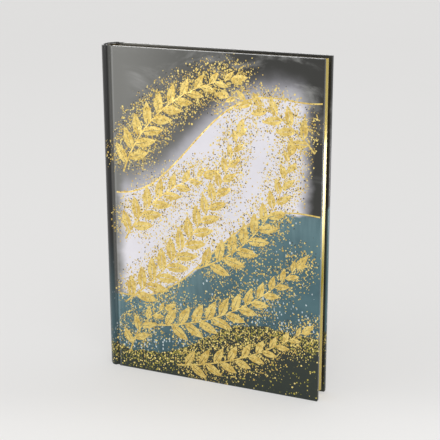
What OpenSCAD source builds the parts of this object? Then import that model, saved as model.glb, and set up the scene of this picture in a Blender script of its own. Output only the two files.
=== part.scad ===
// Hardcover journal, closed and standing on its tail edges.
// A sewn block of gilt-edged pages, rounded and backed, hangs in a case made of two boards,
// a card spine and one printed sheet that is turned in over their edges.
// X runs from the spine to the fore edge, the front cover faces -Y, +Z is up.

/* [Case] */
// Height of the covers
case_h = 210; // [150:1:300]
// Width of the closed journal, from the crown of the spine to the fore edge
case_w = 145; // [100:1:220]
// Thickness of each board
board_t = 2.5; // [1.5:0.1:3.5]
// Rounding of the boards' edges
board_ease = 0.4; // [0.2:0.05:0.7]
// Thickness of the printed sheet
wrap_t = 0.25; // [0.15:0.05:0.35]
// Width of the sheet that is turned in behind the boards
turn_in = 15; // [8:1:22]

/* [Spine and joints] */
// Thickness of the card in the spine
strip_t = 0.9; // [0.5:0.1:1.4]
// How far the rounded spine bulges
spine_bulge = 3.5; // [2.5:0.1:4.5]
// How far the corner of the spine lies in from the plane of the cover
spine_drop = 0.95; // [0.6:0.05:1.4]
// Distance from the corner of the spine to the middle of the joint groove
joint_w = 4.4; // [3.8:0.1:7]
// Width of the joint groove
groove_w = 4.4; // [3.6:0.1:5]
// Depth of the joint groove
groove_d = 1.2; // [0.6:0.1:1.4]
// Gap in the middle of the groove, between the moving and the fixed part of the sheet
joint_gap = 0.3; // [0.2:0.05:0.5]
// Distance from the groove to the edge of the board
board_clear = 0.2; // [0.1:0.05:1]

/* [Pages] */
// Thickness of the sewn pages
text_t = 10; // [8:0.5:24]
// How far the pages stand back from the fore edge of the covers
square_fore = 2; // [1:0.1:5]
// How far the pages stand back from the head and the tail of the covers
square_end = 1.5; // [1.4:0.1:5]
// Roundness of the spine of the block
block_round = 4.4; // [3:0.1:5]
// Height of the backed shoulders above the faces of the block
shoulder_h = 1.9; // [1:0.1:2]
// Number of sewn sections
sections = 9; // [5:1:16]
// Depth of the folds between the sections
section_dip = 0.3; // [0.1:0.05:0.5]
// Run of the shoulders for their height
shoulder_run = 1.35; // [1.1:0.05:1.6]
// Share of a shoulder that the cloth lining covers
cloth_share = 0.55; // [0.3:0.05:0.8]
// Thickness of the cloth lining glued over the spine of the block
lining_t = 0.35; // [0.2:0.05:0.6]
// Room between the lining and the card of the spine
hollow = 0.9; // [0.6:0.05:2]

/* [Endpapers and bands] */
// Thickness of the endpapers
endpaper_t = 0.2; // [0.1:0.05:0.3]
// Bare turn-in between a pastedown and the edges of its board
paste_inset = 3.5; // [2:0.5:6]
// Room between a closed cover and the pages
cover_gap = 0.15; // [0.1:0.05:0.5]
// Diameter of the bead of a headband
bead_d = 1.3; // [0.8:0.05:1.35]
// Length of the headband's cloth tongue on the spine
tongue_h = 12; // [6:1:18]

/* [Print] */
// Thickness of a printed field of colour
print_t = 0.05; // [0.04:0.01:0.1]
// Thickness of the stamped foil
foil_t = 0.05; // [0.04:0.01:0.1]
// Length of the longest foil leaf
leaf_len = 17; // [10:0.5:20]
// Width of a foil leaf for its length
leaf_fullness = 0.36; // [0.25:0.01:0.45]
// Width of a foil stem at its foot
stem_w = 1.1; // [0.6:0.1:1.6]
// Width of the foil lines between the fields
line_w = 0.9; // [0.5:0.1:1.5]

/* [Hidden] */

charcoal = "#4a4a48";
pale = "#e4e1e6";
teal = "#5b7a80";
gold = "#d8b458";
paper = "#f1ead9";
gilt = "#cfae56";
greyboard = "#8f8a80";
cloth = "#d9d3c4";
thread = "#3a3835";

// Levels across the thickness, counted in from the plane of a cover
board_back = wrap_t + board_t;
turned_back = board_back + wrap_t;
cover_back = turned_back + endpaper_t;
flyleaf_out = cover_back + cover_gap;
half_t = text_t / 2 + endpaper_t + flyleaf_out;

// Corner, groove and board along the width, counted from the crown of the spine
corner_x = spine_bulge;
corner_y = half_t - spine_drop;
spine_r = (corner_y * corner_y + corner_x * corner_x) / (2 * corner_x);
spine_a = asin(corner_y / spine_r);
groove_x = corner_x + joint_w;
ridge_x = groove_x - groove_w / 2;
flat_x = groove_x + groove_w / 2;
board_x = flat_x + board_clear;
edge_r = board_ease + wrap_t;

// Spine of the block
block_z0 = square_end;
block_z1 = case_h - square_end;
fore_x = case_w - square_fore;
crown_x = wrap_t + strip_t + hollow + lining_t;
crest_y = text_t / 2 + shoulder_h;
crest_x = crown_x + block_round;
block_r = (crest_y * crest_y + block_round * block_round) / (2 * block_round);
block_a = asin(crest_y / block_r);
block_cx = crown_x + block_r;
slope_x = crest_x + shoulder_run * shoulder_h;

// Foot of the shoulder's cloth, where the flyleaf takes over, with the outward normal there
slope = unit([slope_x - crest_x, text_t / 2 - crest_y]);
slope_normal = [-slope.y, slope.x];
cloth_foot = [slope_x, text_t / 2] + (1 - cloth_share) * [crest_x - slope_x, crest_y - text_t / 2];

// Steps of the round stretches
arc_steps = 16;
strip_steps = arc_steps - 1;
joint_steps = 14;
section_steps = 6;
ease_steps = 5;
arc_fn = 160;
bead_steps = 12;
cut = 1;

// Printed panel, from the flat of the cover to its rounded edges
panel_x = board_x + board_ease;
panel_w = case_w - edge_r - panel_x;
panel_h = case_h - 2 * edge_r;
wave_steps = 28;

// Waves between the fields, in shares of the panel: height at the joint, rise to the fore edge,
// swell, turns and phase
pale_top = [0.60, 0.33, 0.060, 1.05, 0.60];
teal_top = [0.26, 0.30, 0.060, 0.95, 0.55];
teal_foot = [0.07, 0.15, 0.035, 1.15, 0.50];

// Foil sprays: foot across and up, in shares of the panel, heading, length in shares of the
// panel's height, bend, pairs of leaves and size of the leaves
front_sprays = [
    [0.03, 0.215, 38, 0.68, 36, 14, 1.00],
    [0.04, 0.420, 62, 0.35, -42, 7, 0.94],
    [0.04, 0.630, 72, 0.48, -62, 10, 0.94],
    [0.40, 0.355, 20, 0.50, 64, 10, 0.94],
    [0.97, 0.740, 128, 0.30, 46, 6, 0.82],
    [0.20, 0.155, 8, 0.52, 42, 11, 0.94],
    [0.05, 0.050, 78, 0.21, -50, 4, 0.76],
    [0.30, 0.035, 8, 0.44, 30, 9, 0.82]
];
back_sprays = [
    [0.06, 0.225, 36, 0.60, 34, 12, 1.00],
    [0.40, 0.365, 22, 0.48, 60, 10, 0.94],
    [0.08, 0.660, 66, 0.38, -54, 8, 0.88],
    [0.22, 0.060, 8, 0.46, 34, 10, 0.88]
];

// Quantities on the outline of the sheet, for the side with positive y
function sheet_y(x) =
    let (climb = min(1, (x - corner_x) / (ridge_x - corner_x)))
    let (ease = half_t - (half_t - corner_y) * (1 - sin(90 * climb)))
    let (dip = abs(x - groove_x) < groove_w / 2 ? 0.5 + 0.5 * cos(360 * (x - groove_x) / groove_w) : 0)
    ease - groove_d * dip;
function spine_arc(r, steps = arc_steps) =
    [for (i = [0:steps]) let (a = spine_a * i / arc_steps) [spine_r - r * cos(a), r * sin(a)]];
function joint_curve(x0, x1) =
    [for (i = [0:joint_steps]) let (x = x0 + (x1 - x0) * i / joint_steps) [x, sheet_y(x)]];

// The same outline moved in by d, along its own normals
function unit(v) = v / norm(v);
function moved_in(pts, d) = [
    for (i = [0:len(pts) - 1])
        let (a = pts[max(0, i - 1)], b = pts[min(len(pts) - 1, i + 1)], t = unit(b - a))
            pts[i] + d * [t.y, -t.x]
];
function tail_of(list, first) = [for (i = [first:len(list) - 1]) list[i]];
function reversed(list) = [for (i = [len(list) - 1:-1:0]) list[i]];
function other_side(pts) = [for (p = pts) [p.x, -p.y]];
// A half outline from the crown outwards, joined to its mirror image
function both_sides(pts) = concat(reversed(other_side(tail_of(pts, 1))), pts);

// Half outlines of the sheet around the spine, by depth
function spine_half(d) = concat(
    spine_arc(spine_r - d),
    tail_of(moved_in(joint_curve(corner_x, groove_x - joint_gap / 2), d), 1)
);
// At the turn-ins the sheet lies behind the card as well
turn_a = spine_a * strip_steps / arc_steps + wrap_t / (spine_r - wrap_t - strip_t) * 180 / PI;
function spine_turned_half() = let (deep = spine_r - wrap_t - strip_t - wrap_t) concat(
    spine_arc(deep, strip_steps),
    [[spine_r - deep * cos(turn_a), deep * sin(turn_a)]],
    tail_of(moved_in(joint_curve(corner_x, groove_x - joint_gap / 2), 2 * wrap_t), 1)
);

function rounded(x0, y0, x1, y1, r) = [
    for (c = [[x1 - r, y1 - r, 0], [x0 + r, y1 - r, 90], [x0 + r, y0 + r, 180], [x1 - r, y0 + r, 270]])
        for (i = [0:ease_steps])
            [c.x, c.y] + r * [cos(c.z + 90 * i / ease_steps), sin(c.z + 90 * i / ease_steps)]
];

// Puts the crown of the spine on its own side, so that the origin is below the middle
module placed() {
    translate([-case_w / 2, 0, 0]) children();
}

// The front lies on the side with negative y
module front_side() {
    placed() mirror([0, 1, 0]) children();
}

module back_side() {
    placed() children();
}

// A plate with all its long edges eased, from x0 to x1 and between two depths
module eased_plate(x0, x1, depth0, depth1, z0, z1, r) {
    intersection() {
        translate([0, 0, z0])
            linear_extrude(z1 - z0)
                polygon(rounded(x0, half_t - depth1, x1, half_t - depth0, r));
        translate([x0, 0, 0])
            rotate([90, 0, 90])
                linear_extrude(x1 - x0)
                    polygon(rounded(half_t - depth1, z0, half_t - depth0, z1, r));
    }
}

module board() {
    eased_plate(board_x, case_w - wrap_t, wrap_t, board_back, wrap_t, case_h - wrap_t, board_ease);
}

// Everything that the sheet's moving part could fill at its turn-ins
module cover_envelope() {
    joint = joint_curve(groove_x + joint_gap / 2, board_x);
    under = moved_in(joint, 2 * wrap_t);
    edge_x = case_w - edge_r;
    outer_edge = [
        for (i = [0:ease_steps])
            [edge_x, half_t - edge_r] + edge_r * [sin(90 * i / ease_steps), cos(90 * i / ease_steps)]
    ];
    inner_edge = [
        for (i = [0:ease_steps])
            [edge_x, half_t - turned_back + edge_r]
                + edge_r * [cos(90 * i / ease_steps), -sin(90 * i / ease_steps)]
    ];
    step_x = board_x - wrap_t;
    kept = [for (p = under) if (p.x < step_x) p];
    outline = concat(
        joint, outer_edge, inner_edge,
        [[step_x, half_t - turned_back], [step_x, half_t - 2 * wrap_t]],
        reversed(kept)
    );
    intersection() {
        linear_extrude(case_h) polygon(outline);
        translate([groove_x, 0, 0])
            rotate([90, 0, 90])
                linear_extrude(case_w - groove_x)
                    polygon(rounded(half_t - turned_back, 0, half_t, case_h, edge_r));
    }
}

// What the turn-ins leave bare: the back of the joint, the board's edge and its inner face
module cover_window() {
    joint = moved_in(joint_curve(groove_x + joint_gap / 2, board_x), wrap_t);
    bare = [for (p = joint) if (p.x < board_x) p];
    inside = half_t - turned_back - cut;
    translate([0, 0, turn_in])
        linear_extrude(case_h - 2 * turn_in)
            polygon(concat(
                [[groove_x - cut, inside], [groove_x - cut, bare[0].y]],
                bare,
                [[board_x, half_t - wrap_t], [board_x, half_t - board_back],
                 [case_w - turn_in, half_t - board_back], [case_w - turn_in, inside]]
            ));
}

module cover_wrap() {
    difference() {
        cover_envelope();
        board();
        cover_window();
    }
}

// Endpaper glued behind the board: it dips where the turn-ins end under it
module pastedown() {
    low = half_t - cover_back;
    right = case_w - paste_inset;
    bottom = paste_inset;
    top = case_h - paste_inset;
    window_right = case_w - turn_in;
    window_top = case_h - turn_in;
    difference() {
        translate([board_x, low, bottom])
            cube([right - board_x, cover_back - board_back, top - bottom]);
        difference() {
            translate([board_x - cut, half_t - turned_back, bottom - cut])
                cube([right - board_x + 2 * cut, wrap_t + cut, top - bottom + 2 * cut]);
            translate([board_x - 2 * cut, low - cut, turn_in])
                cube([window_right - board_x + 2 * cut, cover_back + 2 * cut, window_top - turn_in]);
        }
        translate([board_x - cut, low - cut, turn_in + endpaper_t])
            cube([
                window_right - board_x + cut - endpaper_t,
                cut + wrap_t,
                window_top - turn_in - 2 * endpaper_t
            ]);
    }
}

// One half of the folded endpaper, on the face of the pages from the shoulder to the fore edge
module flyleaf() {
    corner_out = (slope_normal + [0, 1]) / (1 + slope_normal.y);
    translate([0, 0, block_z0])
        linear_extrude(block_z1 - block_z0)
            polygon([
                cloth_foot,
                cloth_foot + endpaper_t * slope_normal,
                [slope_x, text_t / 2] + endpaper_t * corner_out,
                [fore_x, text_t / 2 + endpaper_t],
                [fore_x, text_t / 2],
                [slope_x, text_t / 2]
            ]);
}

function block_point(r, a) = [block_cx - r * cos(a), r * sin(a)];
fore_a = asin(text_t / 2 / block_r);

module text_block() {
    steps = sections * section_steps;
    spine = [
        for (i = [0:steps])
            let (t = i / steps, a = block_a * (2 * t - 1))
                block_point(block_r - section_dip * (1 - abs(sin(180 * sections * t))), a)
    ];
    fore_cx = fore_x + block_r * cos(fore_a);
    fore = [
        for (i = [0:arc_steps])
            let (a = fore_a * (1 - 2 * i / arc_steps))
                [fore_cx - block_r * cos(a), block_r * sin(a)]
    ];
    color(gilt)
        placed()
            translate([0, 0, block_z0])
                linear_extrude(block_z1 - block_z0)
                    polygon(concat(
                        spine, [[slope_x, text_t / 2]], fore, [[slope_x, -text_t / 2]]
                    ));
}

// Cloth over the sewn sections and part of the shoulders, between the two headbands
module spine_lining() {
    steps = sections * section_steps;
    inner = [for (i = [0:steps]) block_point(block_r, block_a * (2 * i / steps - 1))];
    outer = [for (i = [0:steps]) block_point(block_r + lining_t, block_a * (2 * i / steps - 1))];
    flange = [cloth_foot, cloth_foot + lining_t * slope_normal];
    color(cloth)
        placed()
            translate([0, 0, block_z0 + tongue_h])
                linear_extrude(block_z1 - block_z0 - 2 * tongue_h)
                    polygon(concat(
                        inner, flange, reversed(outer), reversed(other_side(flange))
                    ));
}

// A bead on the head of the pages, with its tongue glued on the spine of the block
module band() {
    translate([block_cx, 0, 0])
        rotate([0, 0, 180 - block_a])
            rotate_extrude(angle = 2 * block_a, $fn = arc_fn)
                union() {
                    translate([block_r + lining_t - bead_d / 2, block_z1 + bead_d / 2])
                        polygon([
                            for (i = [0:bead_steps - 1])
                                bead_d / 2 * [cos(360 * i / bead_steps), sin(360 * i / bead_steps)]
                        ]);
                    translate([block_r, block_z1 - tongue_h])
                        square([lining_t, tongue_h + bead_d / 2]);
                }
}

module headband() {
    color(thread) placed() band();
}

module tailband() {
    color(thread) placed() translate([0, 0, case_h]) mirror([0, 0, 1]) band();
}

module spine_card() {
    translate([0, 0, wrap_t])
        linear_extrude(case_h - 2 * wrap_t)
            polygon(concat(
                both_sides(spine_arc(spine_r - wrap_t, strip_steps)),
                reversed(both_sides(spine_arc(spine_r - wrap_t - strip_t, strip_steps)))
            ));
}

module spine_strip() {
    color(greyboard) placed() spine_card();
}

// The sheet from groove to groove: single in the middle, turned in at the head and the tail
module spine_wrap() {
    outer = both_sides(spine_half(0));
    end_x = groove_x + cut;
    inner_half = spine_half(wrap_t);
    last_y = inner_half[len(inner_half) - 1].y;
    color(charcoal)
        placed()
            difference() {
                linear_extrude(case_h)
                    polygon(concat(outer, reversed(both_sides(spine_turned_half()))));
                spine_card();
                translate([0, 0, turn_in])
                    linear_extrude(case_h - 2 * turn_in)
                        polygon(concat(
                            both_sides(inner_half),
                            [[end_x, last_y], [end_x, -last_y]]
                        ));
            }
}

// Wave between two fields of the print, from the joint to the fore edge
function wave(w) = [
    for (i = [0:wave_steps])
        let (t = i / wave_steps)
            [t * panel_w, panel_h * (w[0] + w[1] * t + w[2] * sin(360 * (w[3] * t + w[4])))]
];

module field(low, high) {
    polygon(concat(wave(low), reversed(wave(high))));
}

// Drawing on the face of a cover, at a level over the sheet
module on_cover(level, t) {
    translate([panel_x, half_t + level + t, edge_r])
        rotate([90, 0, 0])
            linear_extrude(t)
                children();
}

module leaf(size) {
    side = size * leaf_fullness / 2;
    polygon([
        [0, 0], [0.3 * size, side], [0.62 * size, 0.9 * side],
        [size, 0], [0.62 * size, -0.9 * side], [0.3 * size, -side]
    ]);
}

// An arched stem with pairs of leaves, full in the lower half and smaller towards the tip
module spray(spec) {
    stem = spec[3] * panel_h;
    bend = spec[4];
    pairs = spec[5];
    longest = spec[6] * leaf_len;
    bend_r = stem / (bend * PI / 180);
    function at(t) = bend_r * [sin(bend * t), 1 - cos(bend * t)];
    function half_w(t) = stem_w / 2 * (1 - 0.75 * t);
    function side_of(t, s) = at(t) + s * half_w(t) * [-sin(bend * t), cos(bend * t)];
    function length_at(t) = longest * (0.62 + 0.38 * sin(180 * (0.25 + 0.75 * t))) * (1 - 0.25 * t);
    translate([spec[0] * panel_w, spec[1] * panel_h])
        rotate(spec[2]) {
            polygon(concat(
                [for (i = [0:pairs]) side_of(i / pairs, 1)],
                [for (i = [pairs:-1:0]) side_of(i / pairs, -1)]
            ));
            for (i = [1:pairs], s = [-1, 1]) {
                t = (i - 0.4 * max(s, 0)) / pairs;
                translate(at(t))
                    rotate(bend * t + s * (50 - 20 * t))
                        leaf(length_at(t));
            }
            translate(at(1)) rotate(bend) leaf(0.7 * longest);
        }
}

module foil_line(w) {
    lift = [0, line_w / 2];
    polygon(concat([for (p = wave(w)) p - lift], reversed([for (p = wave(w)) p + lift])));
}

module foil(sprays) {
    intersection() {
        square([panel_w, panel_h]);
        union() {
            foil_line(pale_top);
            foil_line(teal_top);
            for (s = sprays) spray(s);
        }
    }
}

module front_flyleaf() { color(paper) front_side() flyleaf(); }
module back_flyleaf() { color(paper) back_side() flyleaf(); }
module front_board() { color(greyboard) front_side() board(); }
module back_board() { color(greyboard) back_side() board(); }
module front_wrap() { color(charcoal) front_side() cover_wrap(); }
module back_wrap() { color(charcoal) back_side() cover_wrap(); }
module front_pastedown() { color(paper) front_side() pastedown(); }
module back_pastedown() { color(paper) back_side() pastedown(); }
module front_pale_print() { color(pale) front_side() on_cover(0, print_t) field(teal_top, pale_top); }
module back_pale_print() { color(pale) back_side() on_cover(0, print_t) field(teal_top, pale_top); }
module front_teal_print() { color(teal) front_side() on_cover(0, print_t) field(teal_foot, teal_top); }
module back_teal_print() { color(teal) back_side() on_cover(0, print_t) field(teal_foot, teal_top); }
module front_foil() { color(gold) front_side() on_cover(print_t, foil_t) foil(front_sprays); }
module back_foil() { color(gold) back_side() on_cover(print_t, foil_t) foil(back_sprays); }

text_block();
front_flyleaf();
back_flyleaf();
spine_lining();
headband();
tailband();
spine_strip();
spine_wrap();
front_board();
front_wrap();
front_pastedown();
front_pale_print();
front_teal_print();
front_foil();
back_board();
back_wrap();
back_pastedown();
back_pale_print();
back_teal_print();
back_foil();
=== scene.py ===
"""Hardcover journal on its tail edges: printed case, gilt pages, endpapers, headbands and foil."""

import math

import bpy
import numpy as np
from mathutils import Matrix, Vector


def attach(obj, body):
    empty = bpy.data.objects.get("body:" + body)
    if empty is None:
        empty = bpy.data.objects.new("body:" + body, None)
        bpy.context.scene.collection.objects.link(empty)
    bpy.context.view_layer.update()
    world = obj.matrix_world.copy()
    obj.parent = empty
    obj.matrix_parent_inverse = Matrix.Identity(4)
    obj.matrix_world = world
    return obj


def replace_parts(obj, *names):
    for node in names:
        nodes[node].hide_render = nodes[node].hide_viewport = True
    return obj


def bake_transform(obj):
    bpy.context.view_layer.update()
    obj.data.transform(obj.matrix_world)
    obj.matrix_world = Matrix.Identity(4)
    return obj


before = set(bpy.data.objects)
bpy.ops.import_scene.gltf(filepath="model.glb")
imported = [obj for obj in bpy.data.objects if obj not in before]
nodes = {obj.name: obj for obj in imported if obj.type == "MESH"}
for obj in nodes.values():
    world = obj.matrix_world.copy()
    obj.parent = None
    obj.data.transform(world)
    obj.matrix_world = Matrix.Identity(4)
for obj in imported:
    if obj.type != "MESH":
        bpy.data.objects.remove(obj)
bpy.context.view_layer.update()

FRONT, BACK = -1, 1
COVER_BODY = {FRONT: "front_cover", BACK: "back_cover"}
SIDE_NAME = {FRONT: "front", BACK: "back"}

# Sizes of the case in millimetres: x from the crown of the spine, y out of each cover, z up
MM = 0.001
CASE_H = 210.0
CASE_W = 145.0
BOARD_T = 2.5
WRAP_T = 0.25
TURN_IN = 15.0
EDGE_R = 0.65
STRIP_T = 0.9
SPINE_BULGE = 3.5
SPINE_DROP = 0.95
JOINT_W = 4.4
GROOVE_W = 4.4
GROOVE_D = 1.2
BOARD_X = 10.3
PRINT_T = 0.05
FOIL_T = 0.05
HALF_T = 8.55
FACE_Y = HALF_T + PRINT_T
BOARD_BACK = HALF_T - WRAP_T - BOARD_T
TURNED_BACK = BOARD_BACK - WRAP_T

CORNER_X = SPINE_BULGE
CORNER_Y = HALF_T - SPINE_DROP
SPINE_R = (CORNER_Y ** 2 + CORNER_X ** 2) / (2 * CORNER_X)
SPINE_A = math.asin(CORNER_Y / SPINE_R)
GROOVE_X = CORNER_X + JOINT_W
GROOVE_NEAR = 1.7
RIDGE_X = GROOVE_X - GROOVE_W / 2

# The pages, with their backed shoulders
TEXT_Y = 5.0
SQUARE_END = 1.5
SQUARE_FORE = 2.0
FORE_X = CASE_W - SQUARE_FORE
CROWN_X = 2.4
BLOCK_ROUND = 4.4
SHOULDER_H = 1.9
SHOULDER_RUN = 1.35
CREST_X = CROWN_X + BLOCK_ROUND
CREST_Y = TEXT_Y + SHOULDER_H
BLOCK_R = (CREST_Y ** 2 + BLOCK_ROUND ** 2) / (2 * BLOCK_ROUND)
BLOCK_A = math.asin(CREST_Y / BLOCK_R)
BLOCK_CX = CROWN_X + BLOCK_R
SLOPE_X = CREST_X + SHOULDER_RUN * SHOULDER_H
ENDPAPER_T = 0.2
LINING_T = 0.35
PASTE_INSET = 3.5

# The headbands and the lining, with the rows and columns of their faces
BEAD_D = 1.3
TONGUE_H = 12.0
STITCHES = 24
STITCH_SLANT = 0.35
STITCH_DEPTH = 0.16
COLUMNS_A_STITCH = 6
BEAD_SIDES = 14
TONGUE_COLUMNS = 36
TONGUE_ROWS = 8
LINING_STEPS = 40
LINING_GAP = 0.1

# Where the sheet and the endpapers would bend when a cover opens, along x; nothing bends them
BEND_START = 6.9
BEND_END = 8.9

# How far from the middle of a leaf the loose dabs lie thickest, and how far on they thin out
DABS_FULL = 4.0
DABS_FADE = 10.0

# The printed panel, and the waves between its fields in shares of it: height at the joint,
# rise to the fore edge, swell, turns and phase
PANEL_X = 10.7
PANEL_W = CASE_W - EDGE_R - PANEL_X
PANEL_H = CASE_H - 2 * EDGE_R
# The back's loose patterns come from another layer, so that they don't mirror the front's: how far
# off it lies, and the runs between which they pass over to it
PATTERN_DRIFT = 12.0
DRIFT_RUNS = -6, 10
PALE_TOP = (0.60, 0.33, 0.060, 1.05, 0.60)
TEAL_TOP = (0.26, 0.30, 0.060, 0.95, 0.55)
TEAL_FOOT = (0.07, 0.15, 0.035, 1.15, 0.50)

# Foil sprays: foot across and up in shares of the panel, heading, length in shares of the
# panel's height, bend, pairs of leaves and size of the leaves
LEAF_LEN = 17.0
LEAF_FULLNESS = 0.36
STEM_W = 1.1
STEM_TAPER = 0.75
LINE_W = 0.9
FRONT_SPRAYS = (
    (0.03, 0.215, 38, 0.68, 36, 14, 1.00),
    (0.04, 0.420, 62, 0.35, -42, 7, 0.94),
    (0.04, 0.630, 72, 0.48, -62, 10, 0.94),
    (0.40, 0.355, 20, 0.50, 64, 10, 0.94),
    (0.97, 0.740, 128, 0.30, 46, 6, 0.82),
    (0.20, 0.155, 8, 0.52, 42, 11, 0.94),
    (0.05, 0.050, 78, 0.21, -50, 4, 0.76),
    (0.30, 0.035, 8, 0.44, 30, 9, 0.82),
)
BACK_SPRAYS = (
    (0.06, 0.225, 36, 0.60, 34, 12, 1.00),
    (0.40, 0.365, 22, 0.48, 60, 10, 0.94),
    (0.08, 0.660, 66, 0.38, -54, 8, 0.88),
    (0.22, 0.060, 8, 0.46, 34, 10, 0.88),
)
SPRAYS = {FRONT: FRONT_SPRAYS, BACK: BACK_SPRAYS}

# Each line, stem and leaf is stamped a hair higher than the one before, so that no two share a plane
LEVEL_STEP = 0.0012
LINE_LEVELS = 2
LEVELS_A_SPRAY = 4
TOP_LEVEL = LINE_LEVELS - 1 + LEVELS_A_SPRAY * len(FRONT_SPRAYS)
# Points along the lines, stems and leaves, and the leaf's foot and midrib as shares of its length
LINE_STEPS = 60
STEM_STEPS = 24
LEAF_POINTS = 9
LEAF_FOOT = 0.02
MIDRIB = 0.018

# Metres within which points are one
WELD = 0.00001
BEAD_WELD = 0.000004

# Rows and columns of the printed sheet's faces
SPINE_STEPS = 14
JOINT_STEPS = 51
FLAT_STEPS = 46
FACE_ROWS = 60
FOLD_ARC = 5
FOLD_ROWS = 2 * (FOLD_ARC + 1)
TURN_ROWS = 4
CORNER_STEPS = 5
# How far from a corner the turn-ins begin to draw back to their mitre
MITRE_RUN = 24.0


def in_frame(x, y, z, side):
    """A point of the case, in metres in the journal's frame."""
    return Vector(((x - CASE_W / 2) * MM, side * y * MM, z * MM))


def steps_between(low, high, steps):
    return [low + (high - low) * i / steps for i in range(steps + 1)]


def eased(value, low, high):
    t = min(1, max(0, (value - low) / (high - low)))
    return t * t * (3 - 2 * t)


# Making and finishing pieces


def only(piece):
    """Leaves one piece selected and active."""
    bpy.ops.object.select_all(action="DESELECT")
    piece.select_set(True)
    bpy.context.view_layer.objects.active = piece


def named(piece, name):
    piece.name = name
    piece.data.name = name
    return piece


def note(piece, name, values):
    """Keeps a number or a place for each point, which the materials read."""
    values = np.array(values, np.float32)
    kind, key = ("FLOAT", "value") if values.ndim == 1 else ("FLOAT_VECTOR", "vector")
    piece.data.attributes.new(name, kind, "POINT").data.foreach_set(key, values.ravel())


def bent_grid(name, columns, rows, place, noted=None):
    """A grid bent by place(column, row), which gives a point, or a point and what is noted of it."""
    bpy.ops.mesh.primitive_grid_add(x_subdivisions=columns - 1, y_subdivisions=rows - 1, size=2)
    piece = named(bpy.context.object, name)
    across, up = (columns - 1) / 2, (rows - 1) / 2
    vertices = piece.data.vertices
    made = [place(round((v.co.x + 1) * across), round((v.co.y + 1) * up)) for v in vertices]
    for v, one in zip(vertices, made):
        v.co = one[0] if noted else one
    if noted:
        note(piece, noted, [kept for _, kept in made])
    return piece


def joined(name, pieces):
    bpy.ops.object.select_all(action="DESELECT")
    for p in pieces:
        p.select_set(True)
    bpy.context.view_layer.objects.active = pieces[0]
    bpy.ops.object.join()
    return named(bpy.context.object, name)


def edited(piece, *steps):
    """Runs steps of edit mode on all of a piece's mesh."""
    only(piece)
    bpy.ops.object.mode_set(mode="EDIT")
    bpy.ops.mesh.select_all(action="SELECT")
    for step in steps:
        step()
    bpy.ops.object.mode_set(mode="OBJECT")


def make_faces_agree():
    bpy.ops.mesh.select_all(action="SELECT")
    bpy.ops.mesh.normals_make_consistent(inside=False)


def welded(piece, distance=WELD):
    """Merges the points that lie together and makes the faces agree."""
    edited(piece, lambda: bpy.ops.mesh.remove_doubles(threshold=distance), make_faces_agree)


def turned_out(piece, outward):
    """Flips all the faces if the one that lies farthest along outward looks the other way."""
    farthest = max(piece.data.polygons, key=lambda f: (round(f.center.dot(outward), 6), f.area))
    if farthest.normal.dot(outward) < 0:
        edited(piece, bpy.ops.mesh.flip_normals)


def thickened(piece, thickness):
    """Gives a skin its thickness, behind its outer face."""
    only(piece)
    wall = piece.modifiers.new("thickness", "SOLIDIFY")
    wall.thickness = thickness * MM
    wall.offset = -1
    bpy.ops.object.modifier_apply(modifier=wall.name)


def smoothed(piece, degrees=40):
    only(piece)
    bpy.ops.object.shade_smooth_by_angle(angle=math.radians(degrees))


def dressed(piece, material):
    piece.data.materials.clear()
    piece.data.materials.append(material)


# The outline of the printed sheet, from the crown of the spine to the fore edge

# Thickness of the case with its turn-in: at the spine's card, in the joint and at a board
SPINE_TURNED = STRIP_T + 2 * WRAP_T
JOINT_TURNED = 2 * WRAP_T + PRINT_T
BOARD_TURNED = FACE_Y - TURNED_BACK
# Share of the spine's half that its card stiffens
CARD_SHARE = 15 / 16
# Radians to the first point beside the crown, which keeps the two halves smooth where they meet
FIRST_TURN = 0.004
# Gap before the first point on the board, and half the run over which a slope is measured
JOINT_END = 0.06
PROBE = 0.02


def raise_at(x):
    """Thickness of the ink and film over the bare sheet: none on the spine, full on the cover."""
    return PRINT_T * min(1, max(0, (x - CORNER_X) / (BOARD_X - CORNER_X)))


def sheet_y(x):
    climb = min(1, (x - CORNER_X) / (RIDGE_X - CORNER_X))
    ease = HALF_T - (HALF_T - CORNER_Y) * (1 - math.sin(math.pi / 2 * climb))
    off = x - GROOVE_X
    reach = GROOVE_W / 2 if off > 0 else GROOVE_NEAR
    dip = 0.5 + 0.5 * math.cos(math.pi * off / reach) if abs(off) < reach else 0
    return ease - GROOVE_D * dip + raise_at(x)


def unit(x, y):
    size = math.hypot(x, y)
    return x / size, y / size


def outline_stations():
    """Points of the outline: x, y, inward normal, thickness to the turn-in and run along the sheet."""
    stations = []
    card_end = SPINE_A * CARD_SHARE
    for a in [0, FIRST_TURN] + steps_between(0, SPINE_A, SPINE_STEPS)[1:]:
        depth = SPINE_TURNED if a < card_end else JOINT_TURNED
        point = (SPINE_R - SPINE_R * math.cos(a), SPINE_R * math.sin(a))
        stations.append((*point, math.cos(a), -math.sin(a), depth))
    for x in steps_between(CORNER_X, BOARD_X - JOINT_END, JOINT_STEPS)[1:]:
        t = unit(2 * PROBE, sheet_y(x + PROBE) - sheet_y(x - PROBE))
        stations.append((x, sheet_y(x), t[1], -t[0], JOINT_TURNED))
    for x in steps_between(BOARD_X, CASE_W - EDGE_R, FLAT_STEPS):
        stations.append((x, FACE_Y, 0, -1, BOARD_TURNED))
    first_flat = len(stations) - FLAT_STEPS - 1
    runs = [s[0] for s in stations]
    for i in range(first_flat - 1, -1, -1):
        here, there = stations[i], stations[i + 1]
        runs[i] = runs[i + 1] - math.hypot(there[0] - here[0], there[1] - here[1])
    return [(*s, run) for s, run in zip(stations, runs)]


def run_at(x):
    """Run along the sheet at a place of the outline, in metres."""
    return min(outline_stations(), key=lambda station: abs(station[0] - x))[5] * MM


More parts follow.
